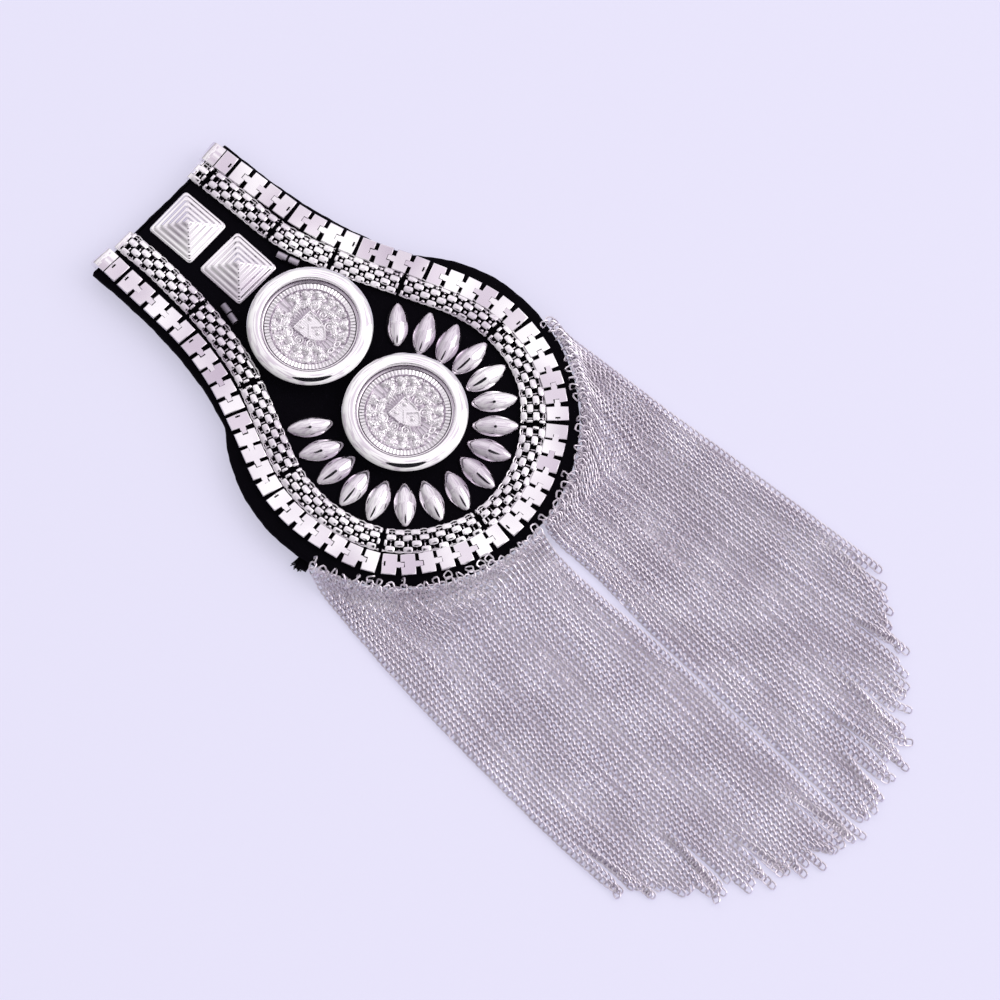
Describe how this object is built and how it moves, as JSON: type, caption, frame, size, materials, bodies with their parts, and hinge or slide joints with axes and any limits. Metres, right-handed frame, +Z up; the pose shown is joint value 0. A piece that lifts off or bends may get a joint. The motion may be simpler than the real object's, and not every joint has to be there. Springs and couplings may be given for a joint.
{
  "type": "chain epaulette",
  "caption": "Keyhole-shaped shoulder board in black cloth, edged with a plate chain and a woven metal band, set with buttons and studs, with a long fringe of chains round its round end.",
  "frame": {"origin": "under the middle of the whole outline, on the surface that the epaulette lies on", "axes": "+Y along the strap, from the fringe towards the strap's straight end; +Z up, from the back to the ornamented face; +X to the right seen from the front with the strap up"},
  "size_m": [0.0876, 0.196, 0.0085],
  "materials": {
    "cloth": "matt felted cloth, black with a cast of violet",
    "silver_plate": "bright silver-tone plating",
    "pin_steel": "plain bright steel"
  },
  "bodies": {
    "root": {"board": "cloth", "fringe_tape": "cloth", "border_chain_right": "silver_plate", "border_chain_left": "silver_plate", "woven_band": "silver_plate", "button_upper": "silver_plate", "button_lower": "silver_plate", "square_stud_upper": "silver_plate", "square_stud_lower": "silver_plate", "navette_1": "silver_plate", "navette_2": "silver_plate", "navette_3": "silver_plate", "navette_4": "silver_plate", "navette_5": "silver_plate", "navette_6": "silver_plate", "navette_7": "silver_plate", "navette_8": "silver_plate", "navette_9": "silver_plate", "navette_10": "silver_plate", "navette_11": "silver_plate", "navette_12": "silver_plate", "navette_13": "silver_plate", "navette_14": "silver_plate", "navette_15": "silver_plate", "navette_16": "silver_plate", "navette_17": "silver_plate", "tube_bead_1": "silver_plate", "tube_bead_2": "silver_plate", "tube_bead_3": "silver_plate", "tube_bead_4": "silver_plate", "fringe_left": "silver_plate", "fringe_right": "silver_plate", "pin_upper": "pin_steel", "pin_lower": "pin_steel"}
  },
  "joints": []
}
